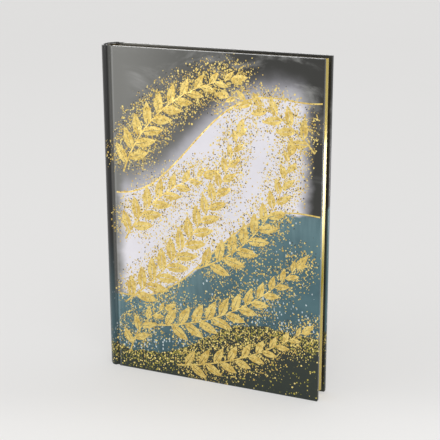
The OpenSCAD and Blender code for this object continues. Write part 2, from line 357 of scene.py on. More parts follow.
def rim_profile(thickness):
    """The fold over an edge as (out, in, run): out beyond the start of the fold, in from the face."""
    r = min(EDGE_R, thickness / 2)
    turns = steps_between(0, math.pi / 2, FOLD_ARC)
    steps = [(r * math.sin(a), r - r * math.cos(a), r * a) for a in turns]
    over = steps[-1][2] + thickness - 2 * r
    steps += [(r * math.cos(a), thickness - r + r * math.sin(a), over + r * a) for a in turns]
    return r, steps


def sheet_skin(side):
    """The outer skin of half the printed sheet: its face, and its edges folded over and turned in."""
    stations = outline_stations()
    last = stations[-1]
    corner_x = last[0]

    def face_z(station, row):
        r = min(EDGE_R, station[4] / 2)
        return r + (CASE_H - 2 * r) * row / FACE_ROWS

    def face_place(column, row):
        x, y, _, _, _, run = stations[column]
        z = face_z(stations[column], row)
        return in_frame(x, y, z, side), (run, z, 0)

    face = bent_grid("face", len(stations), FACE_ROWS + 1, face_place, "print_place")

    # The rim runs along the head, round the corner, down the fore edge and back along the tail
    run_round = [("head", i, 0) for i in range(len(stations))]
    run_round += [("head_corner", 0, i / CORNER_STEPS) for i in range(1, CORNER_STEPS)]
    run_round += [("fore", i, 0) for i in range(FACE_ROWS, -1, -1)]
    run_round += [("tail_corner", 0, i / CORNER_STEPS) for i in range(1, CORNER_STEPS)]
    run_round += [("tail", i, 0) for i in range(len(stations) - 1, -1, -1)]

    def mitred(value, end, deep):
        """Draws a point back from the corner, so that two turn-ins meet on the diagonal."""
        start = end - MITRE_RUN
        return value if value < start else start + (value - start) * (MITRE_RUN - deep) / MITRE_RUN

    def rim_place(column, row):
        kind, index, turn = run_round[column]
        station = stations[index] if kind in ("head", "tail") else last
        x, y, nx, ny, thickness, run = station
        r, steps = rim_profile(thickness)
        out, deep, along = steps[min(row, FOLD_ROWS - 1)]
        inner = max(0, row - FOLD_ROWS + 1) / TURN_ROWS * (TURN_IN - r)
        along += inner
        high = CASE_H - r

        def at_end(up):
            return up if kind.startswith("head") else CASE_H - up

        if kind in ("head", "tail"):
            flat_x = mitred(x, corner_x, inner) if ny == -1 else x
            point = (flat_x + nx * deep, y + ny * deep, at_end(high + out - inner))
            place = (run + flat_x - x, at_end(high + along), 0)
        elif kind == "fore":
            z = face_z(last, index)
            middle = CASE_H / 2
            z = middle + mitred(abs(z - middle), high - middle, inner) * (1 if z > middle else -1)
            point = (corner_x + out - inner, y - deep, z)
            place = (run + along, z, 0)
        else:
            angle = math.pi / 2 * (turn if kind == "head_corner" else 1 - turn)
            right, up = math.sin(angle), math.cos(angle)
            point = (corner_x + out * right - inner, y - deep, at_end(high + out * up - inner))
            place = (run + along * right, at_end(high + along * up), 0)
        return in_frame(*point, side), place

    rim = bent_grid("rim", len(run_round), FOLD_ROWS + TURN_ROWS, rim_place, "print_place")
    return joined("skin", [face, rim])


# The foil's sprays, as the printed panel lays them out


def spray_stem(spec):
    """A function from the share along a stem to its point on the panel and its heading there."""
    across, up, heading, share, bend, _, _ = spec
    bend_r = share * PANEL_H / math.radians(bend)
    turn = math.radians(heading)

    def at(t):
        a = math.radians(bend) * t
        x, z = bend_r * math.sin(a), bend_r * (1 - math.cos(a))
        return (
            PANEL_X + across * PANEL_W + x * math.cos(turn) - z * math.sin(turn),
            EDGE_R + up * PANEL_H + x * math.sin(turn) + z * math.cos(turn),
            turn + a,
        )

    return at


def spray_leaves(spec):
    """Foot, heading and length of each leaf of a spray."""
    at = spray_stem(spec)
    pairs, longest = spec[5], spec[6] * LEAF_LEN
    leaves = []
    for i in range(1, pairs + 1):
        for hand in (-1, 1):
            t = (i - 0.4 * max(hand, 0)) / pairs
            x, z, heading = at(t)
            length = longest * (0.62 + 0.38 * math.sin(math.pi * (0.25 + 0.75 * t))) * (1 - 0.25 * t)
            leaves.append((x, z, heading + hand * math.radians(50 - 20 * t), length))
    x, z, heading = at(1)
    leaves.append((x, z, heading, 0.7 * longest))
    return leaves


def wave_height(wave, x):
    t = (x - PANEL_X) / PANEL_W
    foot, rise, swell, turns, phase = wave
    return EDGE_R + PANEL_H * (foot + rise * t + swell * math.sin(2 * math.pi * (turns * t + phase)))


def gold_shade(places, sprays):
    """How thickly the small gold dabs lie at each place: most among the leaves."""
    x, z, heading, length = np.array([leaf for spec in sprays for leaf in spray_leaves(spec)]).T
    near = np.stack((x + length / 2 * np.cos(heading), z + length / 2 * np.sin(heading)), 1)
    spots = np.array(places, float)[:, :2]
    far = np.sqrt(((spots[:, None, :] - near[None, :, :]) ** 2).sum(2)).min(1)
    return np.clip(1 - (far - DABS_FULL) / DABS_FADE, 0, 1)


def printed_sheet(side):
    """Half the printed sheet, from the crown of the spine through the joint and round the board."""
    sheet = sheet_skin(side)
    welded(sheet)
    turned_out(sheet, Vector((0, side, 0)))
    held = sheet.data.attributes["print_place"].data
    places = [tuple(d.vector) for d in held]
    if side == BACK:
        places = [(run, up, PATTERN_DRIFT * eased(run, *DRIFT_RUNS)) for run, up, _ in places]
        held.foreach_set("vector", np.array(places, np.float32).ravel())
    note(sheet, "gold_shade", gold_shade(places, SPRAYS[side]))
    thickened(sheet, WRAP_T)
    smoothed(sheet)
    dressed(sheet, LAMINATED_PRINT)
    name = SIDE_NAME[side]
    named(sheet, name + "_printed_sheet")
    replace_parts(sheet, "spine_wrap", name + "_wrap", name + "_pale_print", name + "_teal_print")
    bend_with_cover(sheet, side)


def bend_with_cover(piece, side):
    """Bakes a piece's transform into its mesh, alike on both sides; the ends of the bend at the joint
    are worked out but not used.
    """
    at_cover = in_frame(BEND_END, HALF_T, CASE_H / 2, side)
    at_block = in_frame(BEND_START, HALF_T, CASE_H / 2, side)
    if side == FRONT:
        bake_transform(piece)
    else:
        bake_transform(piece)


# Materials: helpers that add nodes


class Builder:
    """Adds nodes to a tree by plain calls, with sockets or numbers as inputs."""

    def __init__(self, tree):
        self.tree = tree

    def put(self, socket, value):
        if isinstance(value, bpy.types.NodeSocket):
            self.tree.links.new(value, socket)
        else:
            socket.default_value = value

    def node(self, kind, **settings):
        made = self.tree.nodes.new("ShaderNode" + kind)
        for key, value in settings.items():
            setattr(made, key, value)
        return made

    def fill(self, made, **values):
        """Gives a node its inputs by name, with _ for each space of the name."""
        for label, value in values.items():
            self.put(made.inputs[label.replace("_", " ")], value)
        return made

    def in_order(self, made, *values):
        for socket, value in zip(made.inputs, values):
            self.put(socket, value)
        return made.outputs[0]

    def math(self, operation, *values, clamp=False):
        return self.in_order(self.node("Math", operation=operation, use_clamp=clamp), *values)

    def times(self, first, second):
        return self.math("MULTIPLY", first, second)

    def times_plus(self, first, second, third):
        return self.math("MULTIPLY_ADD", first, second, third)

    def plus(self, first, second):
        return self.math("ADD", first, second)

    def minus(self, first, second):
        return self.math("SUBTRACT", first, second)

    def span(self, value, low, high, to_low=0.0, to_high=1.0):
        """Maps low..high to another span, smoothly."""
        made = self.node("MapRange", interpolation_type="SMOOTHSTEP")
        return self.in_order(made, value, low, high, to_low, to_high)

    def mix(self, share, first, second):
        made = self.node("Mix", data_type="RGBA", clamp_factor=True)
        self.put(made.inputs[0], share)
        self.put(made.inputs[6], first)
        self.put(made.inputs[7], second)
        return made.outputs[2]

    def noise(self, vector, scale, detail=3.0, roughness=0.55, distortion=0.0):
        made = self.fill(self.node("TexNoise"), Vector=vector, Scale=scale)
        self.fill(made, Detail=detail, Roughness=roughness, Distortion=distortion)
        return made.outputs["Fac"]

    def cells(self, vector, scale):
        made = self.fill(self.node("TexVoronoi"), Vector=vector, Scale=scale)
        return made.outputs["Distance"], made.outputs["Color"]

    def bump(self, height, distance, strength):
        made = self.node("Bump")
        return self.fill(made, Height=height, Distance=distance, Strength=strength).outputs[0]

    def stretched(self, vector, scale, turn=(0, 0, 0)):
        made = self.node("Mapping")
        return self.fill(made, Vector=vector, Scale=scale, Rotation=turn).outputs[0]

    def parts(self, vector):
        return self.fill(self.node("SeparateXYZ"), Vector=vector).outputs

    def object_place(self):
        return self.node("TexCoord").outputs["Object"]

    def noted(self, name, output):
        """What bent_grid or note has kept for each point."""
        return self.node("Attribute", attribute_name=name).outputs[output]

    def mix_shaders(self, share, first, second):
        mixed = self.node("MixShader")
        return self.in_order(mixed, share, first.outputs[0], second.outputs[0])

    def show(self, shader, output="Material Output"):
        self.fill(self.tree.nodes[output], Surface=shader)


def new_material(name):
    """A material with the builder of its nodes and its surface shader."""
    material = bpy.data.materials.new(name)
    material.use_nodes = True
    return material, Builder(material.node_tree), material.node_tree.nodes["Principled BSDF"]


def new_group(name, places, values, results):
    """A shader node group with its builder, inputs and last node. Strings name all its sockets."""
    tree = bpy.data.node_groups.new(name, "ShaderNodeTree")
    sockets = ((places, "INPUT", "Vector"), (values, "INPUT", "Float"), (results, "OUTPUT", "Float"))
    for labels, way, kind in sockets:
        for label in labels.split():
            tree.interface.new_socket(name=label, in_out=way, socket_type="NodeSocket" + kind)
    entry, leave = (tree.nodes.new(kind) for kind in ("NodeGroupInput", "NodeGroupOutput"))
    return tree, Builder(tree), entry.outputs, leave


def use_group(build, tree, **values):
    return build.fill(build.node("Group", node_tree=tree), **values).outputs


def dabs_group():
    """Small loose dabs of a brush: a mask that is dense where Amount is high."""
    tree, build, given, result = new_group("loose dabs", "Place", "Size Amount", "Mask Shade")
    scale = build.math("DIVIDE", 1.0, given["Size"])
    distance, colour = build.cells(given["Place"], scale)
    shades = build.parts(colour)
    there = build.math("LESS_THAN", shades[0], given["Amount"])
    reach = build.times_plus(shades[1], 0.24, 0.25)
    inside = build.math("LESS_THAN", distance, reach)
    build.fill(result, Mask=build.times(there, inside), Shade=shades[2])
    return tree


def grain_group():
    """Fine, even unevenness of a surface, as a height between 0 and 1, with slow blotches."""
    tree, build, given, result = new_group("surface grain", "Place", "Grain Blotch", "Height Blotches")
    fine = build.noise(given["Place"], build.math("DIVIDE", 1.0, given["Grain"]), 4.0, 0.6)
    slow = build.noise(given["Place"], build.math("DIVIDE", 1.0, given["Blotch"]), 3.0, 0.5)
    build.fill(result, Height=fine, Blotches=slow)
    return tree


LOOSE_DABS = dabs_group()
GRAIN = grain_group()

CHARCOAL_INK = (0.028, 0.028, 0.025, 1)
SPINE_SHADE_INK = (0.009, 0.009, 0.009, 1)
SHEEN_GREY_INK = (0.180, 0.180, 0.168, 1)
SMOKE_INK = (0.30, 0.30, 0.29, 1)
SPECK_DARK_INK = (0.045, 0.032, 0.018, 1)
TURN_IN_AND_GROOVE_SHADE_INK = (0.012, 0.012, 0.012, 1)
EDGE_HIGHLIGHT_INK = (0.55, 0.56, 0.56, 1)
PALE_INK = (0.76, 0.74, 0.79, 1)
PALE_SHADE_INK = (0.56, 0.55, 0.60, 1)
TEAL_INK = (0.075, 0.155, 0.175, 1)
TEAL_LIGHT_INK = (0.17, 0.27, 0.29, 1)
TEAL_DEEP_INK = (0.030, 0.075, 0.095, 1)
TEAL_SPINE_SHADE_INK = (0.028, 0.066, 0.078, 1)
GROUND_INK = (0.022, 0.030, 0.023, 1)
MEADOW_INK = (0.42, 0.36, 0.055, 1)
OLIVE_INK = (0.10, 0.11, 0.020, 1)
DAB_LIGHT = (0.90, 0.72, 0.24, 1)
DAB_DEEP = (0.56, 0.38, 0.09, 1)
GOLD_LIGHT = (0.93, 0.73, 0.26, 1)
GOLD_DEEP = (0.62, 0.42, 0.10, 1)
SPECK_INK = (0.62, 0.70, 0.72, 1)
GILT_LIGHT = (0.60, 0.46, 0.030, 1)
GILT_DEEP = (0.46, 0.325, 0.016, 1)
GILT_RUBBED = (0.35, 0.26, 0.05, 1)
GILT_HEAD = (0.60, 0.46, 0.14, 1)
GLUED_PAPER = (0.74, 0.68, 0.56, 1)
PAPER_LIGHT = (0.80, 0.75, 0.63, 1)
PAPER_DEEP = (0.70, 0.64, 0.51, 1)
BOARD_LIGHT = (0.50, 0.47, 0.43, 1)
BOARD_DEEP = (0.30, 0.28, 0.25, 1)
CLOTH_LIGHT = (0.74, 0.70, 0.60, 1)
CLOTH_DEEP = (0.42, 0.38, 0.30, 1)
SILK_BLACK = (0.010, 0.010, 0.011, 1), (0.040, 0.038, 0.036, 1)
SILK_GREY = (0.10, 0.098, 0.095, 1), (0.22, 0.215, 0.205, 1)
FOIL_WORN = (0.10, 0.075, 0.03, 1)

# In metres: one laid line of the paper, one thread of the cloth
LAID_LINE = 0.0011
THREAD = 0.0007
# How far past an edge, along the run of the sheet in millimetres, its turn-in begins to be black
FOLDED_OVER = 2.6


def loose_dabs(build, place, size, amount):
    return use_group(build, LOOSE_DABS, Place=place, Size=size, Amount=amount)


def surface_grain(build, place, grain, blotch):
    return use_group(build, GRAIN, Place=place, Grain=grain, Blotch=blotch)


def wave_above(build, s, t, wave):
    """How far a place of the sheet lies above a wave of the printed panel, in metres."""
    foot, rise, swell, turns, phase = wave
    across = build.math("DIVIDE", build.minus(s, PANEL_X * MM), PANEL_W * MM)
    angle = build.times(build.times_plus(across, turns, phase), 2 * math.pi)
    swelling = build.times(build.math("SINE", angle), swell)
    share = build.plus(build.times_plus(across, rise, foot), swelling)
    return build.minus(t, build.times_plus(share, PANEL_H * MM, EDGE_R * MM))


def painted_line_at(build, s, x, reach):
    """A mask along the joint at a place of the outline, which fades over its reach in metres. It places
    the painted shade in the groove and the painted highlight on the board's edge.
    """
    off = build.math("ABSOLUTE", build.minus(s, run_at(x)))
    return build.span(off, 0.0, reach, 1.0, 0.0)


def printed_sheet_material():
    """Laminated print: smoky charcoal over a pale, a teal and a dark field, with gold dabs, and painted
    shade and highlights along the spine and the joint.

    s runs across the sheet and t up it, both in metres.
    """
    material, build, surface = new_material("laminated_print")
    place = build.stretched(build.noted("print_place", "Vector"), (MM, MM, MM))
    gold_amount = build.noted("gold_shade", "Fac")

    s, t, _ = build.parts(place)
    ragged = build.times_plus(build.noise(place, 55, 4.0), 0.010, -0.005)
    over_pale, over_teal, over_foot = (
        build.plus(wave_above(build, s, t, wave), ragged) for wave in (PALE_TOP, TEAL_TOP, TEAL_FOOT)
    )
    on_cover = build.span(s, run_at(GROOVE_X - 1.3), run_at(GROOVE_X))

    # Charcoal with a painted sheen, grey near the joint and fading towards the fore edge, over a pale
    # glow, then the pale field under it
    sheen_fade = build.math("POWER", build.span(s, 0.012, 0.120, 1.0, 0.0), 1.5)
    charcoal = build.mix(sheen_fade, CHARCOAL_INK, SHEEN_GREY_INK)
    wisps = build.span(build.noise(build.stretched(place, (1, 1.8, 1)), 24, 6.0, 0.62, 0.6), 0.50, 0.74)
    wisps = build.times(wisps, build.span(t, 0.150, 0.206, 0.25, 1.0))
    charcoal = build.mix(build.times(wisps, build.span(s, 0.014, 0.030)), charcoal, SMOKE_INK)
    # Painted shade: the charcoal is darkened on the spine, where it turns away from the light
    charcoal = build.mix(on_cover, SPINE_SHADE_INK, charcoal)
    sheet_charcoal = charcoal
    shaded = build.times_plus(build.noise(place, 70, 4.0), 0.008, s)
    off_fore = build.span(shaded, 0.1330, 0.1450, 1.0, 0.0)
    off_joint = build.times(build.span(shaded, 0.0130, 0.0225), off_fore)
    glow = build.times(build.span(over_pale, 0.0, 0.022, 1.0, 0.0), off_joint)
    charcoal = build.mix(build.times(build.math("POWER", glow, 2.2), 0.75), charcoal, PALE_SHADE_INK)
    mottle = build.span(build.noise(place, 38, 5.0, 0.6), 0.35, 0.75)
    pale = build.mix(build.times(mottle, 0.30), PALE_INK, PALE_SHADE_INK)
    pale = build.mix(off_joint, sheet_charcoal, pale)

    # Teal with drips, clouds and white specks
    mist = build.span(over_teal, -0.040, 0.0)
    drips = build.noise(build.stretched(place, (1, 0.10, 1)), 330, 3.0)
    cloudy = build.span(build.noise(place, 26, 4.0, 0.6), 0.38, 0.66)
    light_teal = build.times(mist, build.times_plus(drips, 1.1, -0.15))
    teal = build.mix(build.times(cloudy, 0.6), TEAL_INK, TEAL_DEEP_INK)
    teal = build.mix(light_teal, teal, TEAL_LIGHT_INK)
    depth = build.span(over_foot, 0.0, 0.018, 1.0, 0.0)
    depth = build.times(depth, build.span(drips, 0.30, 0.65, 1.0, 0.45))
    teal = build.mix(build.times(depth, 0.85), teal, TEAL_DEEP_INK)
    starry = build.span(over_foot, 0.002, 0.026, 0.34, 0.035)
    stars = loose_dabs(build, build.stretched(place, (1, 0.6, 1)), 0.0012, starry)
    teal = build.mix(build.times(stars["Mask"], 0.8), teal, SPECK_INK)
    # Painted shade: the teal is darkened on the spine too
    teal = build.mix(build.times_plus(on_cover, 0.75, 0.25), TEAL_SPINE_SHADE_INK, teal)

    # Dark ground with a meadow of dabs
    thick = build.span(over_foot, -0.019, -0.003, 0.10, 0.98)
    meadow = loose_dabs(build, place, 0.0014, thick)
    turf = loose_dabs(build, build.stretched(place, (1, 0.7, 1), (0, 0, 0.5)), 0.0009, thick)
    ground = build.mix(meadow["Mask"], GROUND_INK, build.mix(meadow["Shade"], MEADOW_INK, GOLD_LIGHT))
    ground = build.mix(turf["Mask"], ground, build.mix(turf["Shade"], OLIVE_INK, MEADOW_INK))
    ground = build.mix(build.span(t, 0.0006, 0.0016, 1.0, 0.0), ground, GROUND_INK)

    # The fields together, parted softly on the spine and clearly on the cover
    soft_edge = build.span(over_teal, -0.030, 0.045)
    clear_edge = build.span(over_teal, -0.0012, 0.0012)
    in_pale = build.times_plus(on_cover, build.minus(clear_edge, soft_edge), soft_edge)
    above_pale = build.span(over_pale, -0.0008, 0.0008)
    in_teal = build.span(over_foot, -0.0006, 0.0006)
    colour = build.mix(in_teal, ground, teal)
    colour = build.mix(in_pale, colour, pale)
    colour = build.mix(above_pale, colour, charcoal)
    # Painted shade along the bottom of the joint's groove
    groove_shade = painted_line_at(build, s, GROOVE_X + 0.4, 0.0017)
    # Painted highlight along the board's edge
    wear_and_highlight = painted_line_at(build, s, BOARD_X + 0.3, 0.0007)
    colour = build.mix(build.times(groove_shade, 0.55), colour, TURN_IN_AND_GROOVE_SHADE_INK)
    colour = build.mix(build.times(wear_and_highlight, 0.16), colour, EDGE_HIGHLIGHT_INK)

    # Black where the sheet is turned in
    inside_head = build.minus(t, (CASE_H + FOLDED_OVER) * MM)
    inside_tail = build.minus(-FOLDED_OVER * MM, t)
    inside_fore = build.minus(s, (CASE_W + FOLDED_OVER) * MM)
    turned = build.math("MAXIMUM", build.math("MAXIMUM", inside_head, inside_tail), inside_fore)
    colour = build.mix(build.span(turned, 0.0, 0.0015), colour, TURN_IN_AND_GROOVE_SHADE_INK)

    # Loose dabs of gold, and a few dark ones, in four layers
    clumps = build.span(build.noise(place, 120, 3.0), 0.30, 0.62, 0.45, 1.0)
    amount = build.times(gold_amount, clumps)
    amount = build.times(amount, build.span(over_teal, -0.030, 0.005, 0.62, 1.0))
    tilted = build.stretched(place, (1, 0.72, 1), (0, 0, 0.7))
    layers = (
        (place, 0.00150, 0.85, None),
        (tilted, 0.00105, 0.95, None),
        (build.stretched(place, (1, 1, 1), (0, 0, 1.9)), 0.00095, 0.42, SPECK_DARK_INK),
        (build.stretched(place, (0.8, 1, 1), (0, 0, 2.6)), 0.00085, 0.80, None),
    )
    metal = 0.0
    for spot, size, share, ink in layers:
        dabs = loose_dabs(build, spot, size, build.times(amount, share))
        tone = ink or build.mix(dabs["Shade"], DAB_DEEP, DAB_LIGHT)
        colour = build.mix(dabs["Mask"], colour, tone)
        metal = build.math("MULTIPLY_ADD", dabs["Mask"], 0.0 if ink else 0.6, metal, clamp=True)
    build.fill(surface, Base_Color=colour, Metallic=build.math("MINIMUM", metal, 0.6))

    grain = surface_grain(build, place, 0.0004, 0.03)
    rough = build.times_plus(grain["Blotches"], 0.10, 0.30)
    build.fill(surface, Roughness=rough, Specular_IOR_Level=0.3, Coat_Weight=0.15, Coat_Roughness=0.15)
    height = build.times_plus(grain["Height"], 0.35, metal)
    build.fill(surface, Normal=build.bump(height, 0.00003, 0.5))
    return material


def gilt_material():
    """Gilded edges of the pages with the fine lines of the leaves, and paper where they are glued."""
    material, build, surface = new_material("gilt_page_edges")
    place = build.object_place()
    leaves = build.noise(build.stretched(place, (0.01, 1.0, 0.01)), 5200, 2.0, 0.7)
    bundles = build.noise(build.stretched(place, (0.02, 1.0, 0.02)), 700, 3.0, 0.6)
    rubbed = build.span(build.noise(place, 260, 5.0, 0.65), 0.60, 0.78)
    gold = build.mix(bundles, GILT_LIGHT, GILT_DEEP)
    gold = build.mix(build.times(rubbed, 0.25), gold, GILT_RUBBED)
    facing = build.parts(build.node("NewGeometry").outputs["True Normal"])[0]
    gold = build.mix(build.span(facing, 0.3, 0.8), GILT_HEAD, gold)
    glued = build.span(facing, -0.60, -0.25, 1.0, 0.0)
    gilded = build.minus(1.0, glued)
    build.fill(
        surface,
        Base_Color=build.mix(glued, gold, GLUED_PAPER),
        Metallic=build.times(build.span(facing, 0.3, 0.8, 1.0, 0.35), gilded),
        Coat_Weight=build.times(build.span(facing, 0.3, 0.8, 0.2, 1.0), gilded),
        Coat_IOR=1.9,
        Coat_Roughness=0.12,
        Roughness=build.times_plus(bundles, 0.14, build.times_plus(glued, 0.5, 0.14)),
        Normal=build.bump(build.times_plus(bundles, 0.8, leaves), 0.00002, 0.6),
    )
    return material


def paper_material():
    """Uncoated paper with fibres, slow toning and faint laid lines."""
    material, build, surface = new_material("endpaper")
    place = build.noted("rest_place", "Vector")
    grain = surface_grain(build, place, 0.0003, 0.045)
    fibres = build.noise(build.stretched(place, (1, 1, 4)), 900, 4.0, 0.7, 1.2)
    tone = build.times_plus(fibres, 0.35, build.times(grain["Blotches"], 0.65))
    lines = build.math("SINE", build.times(build.parts(place)[2], 2 * math.pi / LAID_LINE))
    height = build.times_plus(lines, 0.12, build.plus(grain["Height"], fibres))
    build.fill(
        surface,
        Base_Color=build.mix(build.times(tone, 0.8), PAPER_LIGHT, PAPER_DEEP),
        Roughness=build.times_plus(grain["Height"], 0.2, 0.72),
        Normal=build.bump(height, 0.00004, 0.5),
    )
    return material


def board_material():
    """Grey pulp board with its fibres and layers."""
    material, build, surface = new_material("greyboard")
    place = build.object_place()
    grain = surface_grain(build, place, 0.0006, 0.008)
    layers = build.noise(build.stretched(place, (0.1, 6, 0.1)), 700, 3.0)
    tone = build.times_plus(layers, 0.4, build.times(grain["Blotches"], 0.6))
    build.fill(
        surface,
        Base_Color=build.mix(tone, BOARD_DEEP, BOARD_LIGHT),
        Roughness=0.85,
        Normal=build.bump(grain["Height"], 0.0001, 0.6),
    )
    return material


def cloth_material():
    """Open weave of the spine's lining cloth."""
    material, build, surface = new_material("lining_cloth")
    place = build.object_place()
    _, y, z = build.parts(place)
    across, along = (build.math("SINE", build.times(v, 2 * math.pi / THREAD)) for v in (y, z))
    weave = build.times_plus(build.times(across, along), 0.5, 0.5)
    uneven = build.noise(place, 500, 3.0)
    tone = build.times_plus(uneven, 0.4, build.times(weave, 0.6))
    build.fill(
        surface,
        Base_Color=build.mix(tone, CLOTH_DEEP, CLOTH_LIGHT),
        Roughness=0.9,
        Normal=build.bump(weave, 0.0001, 0.7),
    )
    return material


def band_silk_material():
    """Twisted silk of the headbands, black and grey by turns of three stitches."""
    material, build, surface = new_material("band_silk")
    stitch = build.noted("stitch", "Fac")
    slanted = build.stretched(build.object_place(), (1, 1, 1), (0.6, 0.4, 0.9))
    strands = build.noise(slanted, 2600, 3.0, 0.6)
    black = build.mix(strands, *SILK_BLACK)
    grey = build.mix(strands, *SILK_GREY)
    by_turns = build.math("LESS_THAN", build.math("MODULO", stitch, 6.0), 3.0)
    build.fill(
        surface,
        Base_Color=build.mix(by_turns, black, grey),
        Roughness=build.times_plus(strands, 0.2, 0.4),
        Sheen_Weight=0.3,
        Normal=build.bump(strands, 0.00006, 0.6),
    )
    return material


def foil_material():
    """Stamped gold foil: bright metal with fine veins, rubbed and speckled."""
    material, build, surface = new_material("stamped_foil")
    place = build.object_place()
    u, v, _ = build.parts(build.node("UVMap", uv_map="UVMap").outputs[0])
    veins = build.math("SINE", build.times_plus(u, 75.0, build.times(v, -14.0)))
    blotch = build.noise(place, 420, 4.0, 0.65)
    gold = build.mix(build.span(blotch, 0.35, 0.7), GOLD_LIGHT, GOLD_DEEP)
    wear_and_highlight = loose_dabs(build, place, 0.0009, 0.22)
    gold = build.mix(build.times(wear_and_highlight["Mask"], 0.8), gold, FOIL_WORN)
    height = build.times_plus(veins, 0.35, build.noise(place, 1100, 3.0))
    build.fill(
        surface,
        Base_Color=gold,
        Metallic=build.times_plus(wear_and_highlight["Mask"], -0.6, 1.0),
        Roughness=build.times_plus(blotch, 0.25, 0.18),
        Normal=build.bump(height, 0.00005, 0.7),
    )
    return material


LAMINATED_PRINT = printed_sheet_material()
GILT = gilt_material()
ENDPAPER = paper_material()
GREYBOARD = board_material()
LINING = cloth_material()
BAND_SILK = band_silk_material()
FOIL = foil_material()


# The foil, stamped from one leaf


def foil_leaf():
    """One leaf of unit length along x in the plane of the cover: two halves, parted at the midrib."""
    halves = []
    for hand in (-1, 1):

        def place(column, row, hand=hand):
            u = LEAF_FOOT + (1 - LEAF_FOOT) * column / (LEAF_POINTS - 1)
            belly = math.sin(math.pi * u ** 0.82) ** 0.9 if 0 < u < 1 else 0
            wide = LEAF_FULLNESS / 2 * 1.12 * belly
            rib = MIDRIB * (1 - u)
            return Vector((u, 0, hand * (rib if row == 0 else max(rib, wide))))

        halves.append(bent_grid("leaf", LEAF_POINTS, 2, place))
    return joined("leaf", halves)


def foil_y(level):
    """Face of the foil at one of its levels."""
    return FACE_Y + FOIL_T - LEVEL_STEP * (TOP_LEVEL - level)


def on_panel(x, z, heading, size, side, level):
    """Puts a flat drawing of unit size at a place of the panel."""
    place = Matrix.Translation(in_frame(x, foil_y(level), z, side))
    return place @ Matrix.Rotation(-heading, 4, "Y") @ Matrix.Scale(size * MM, 4)


def foil_ribbon(name, points, widths, side, level):
    """A flat ribbon along points of the panel."""

    def place(column, row):
        x, z = points[column]
        before, after = points[max(0, column - 1)], points[min(len(points) - 1, column + 1)]
        t = unit(after[0] - before[0], after[1] - before[1])
        off = widths[column] / 2 * (1 if row else -1)
        return in_frame(x - t[1] * off, foil_y(level), z + t[0] * off, side)

    return bent_grid(name, len(points), 2, place)


def inside_panel(piece):
    """Cuts off what would run over the edges of the panel."""
    low = in_frame(PANEL_X, 0, EDGE_R, BACK)
    high = in_frame(PANEL_X + PANEL_W, 0, EDGE_R + PANEL_H, BACK)

    def cut_away():
        for corner, out in ((low, (-1, 0, 0)), (low, (0, 0, -1)), (high, (1, 0, 0)), (high, (0, 0, 1))):
            bpy.ops.mesh.select_all(action="SELECT")
            bpy.ops.mesh.bisect(plane_co=corner, plane_no=out, clear_outer=True)

    edited(piece, cut_away)


def stamped_foil(side):
    """The foil of one cover: a line along two of the waves, then each spray's stem and leaves."""
    leaf = foil_leaf()
    stamped = []
    for level, wave in enumerate((PALE_TOP, TEAL_TOP)):
        xs = steps_between(PANEL_X, PANEL_X + PANEL_W, LINE_STEPS)
        line = [(x, wave_height(wave, x)) for x in xs]
        stamped.append(foil_ribbon("line", line, [LINE_W] * len(line), side, level))
    for number, spec in enumerate(SPRAYS[side]):
        lowest = LINE_LEVELS + LEVELS_A_SPRAY * number
        at = spray_stem(spec)
        shares = steps_between(0, 1, STEM_STEPS)
        widths = [STEM_W * (1 - STEM_TAPER * t) for t in shares]
        stamped.append(foil_ribbon("stem", [at(t)[:2] for t in shares], widths, side, lowest))
        for i, leaf_place in enumerate(spray_leaves(spec)):
            copy = bpy.data.objects.new("leaf", leaf.data.copy())
            bpy.context.collection.objects.link(copy)
            level = lowest + 1 + i % (LEVELS_A_SPRAY - 1)
            copy.data.transform(on_panel(*leaf_place, side, level))
            stamped.append(copy)
    bpy.data.objects.remove(leaf)
    foil = joined(SIDE_NAME[side] + "_stamped_foil", stamped)
    inside_panel(foil)
    for face in foil.data.polygons:
        if face.normal.y * side < 0:
            face.flip()
    thickened(foil, FOIL_T)
    dressed(foil, FOIL)
    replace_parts(foil, SIDE_NAME[side] + "_foil")
    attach(foil, COVER_BODY[side])


# Endpapers, headbands and the lining of the spine

# How far glued faces lie apart or reach into each other, so that no two share a plane
SEAT = 0.01


def endpaper_half(name, path, heights, side, sink):
    """Half an endpaper along a path of (x, y) points: its outer skin with its thickness behind it.

    sink(x, y, z) says how far a point lies out from its path, towards the cover.
    """

    def place(column, row):
        x, y = path[column]
        z = heights[row]
        return in_frame(x, y + sink(x, y, z), z, side)

    paper = bent_grid(name, len(path), len(heights), place)
    turned_out(paper, Vector((0, side, 0)))
    thickened(paper, ENDPAPER_T)
    smoothed(paper, 35)
    dressed(paper, ENDPAPER)
    # Each point's place at rest, so that the paper's grain bends with it
    note(paper, "rest_place", [tuple(v.co) for v in paper.data.vertices])
    return paper


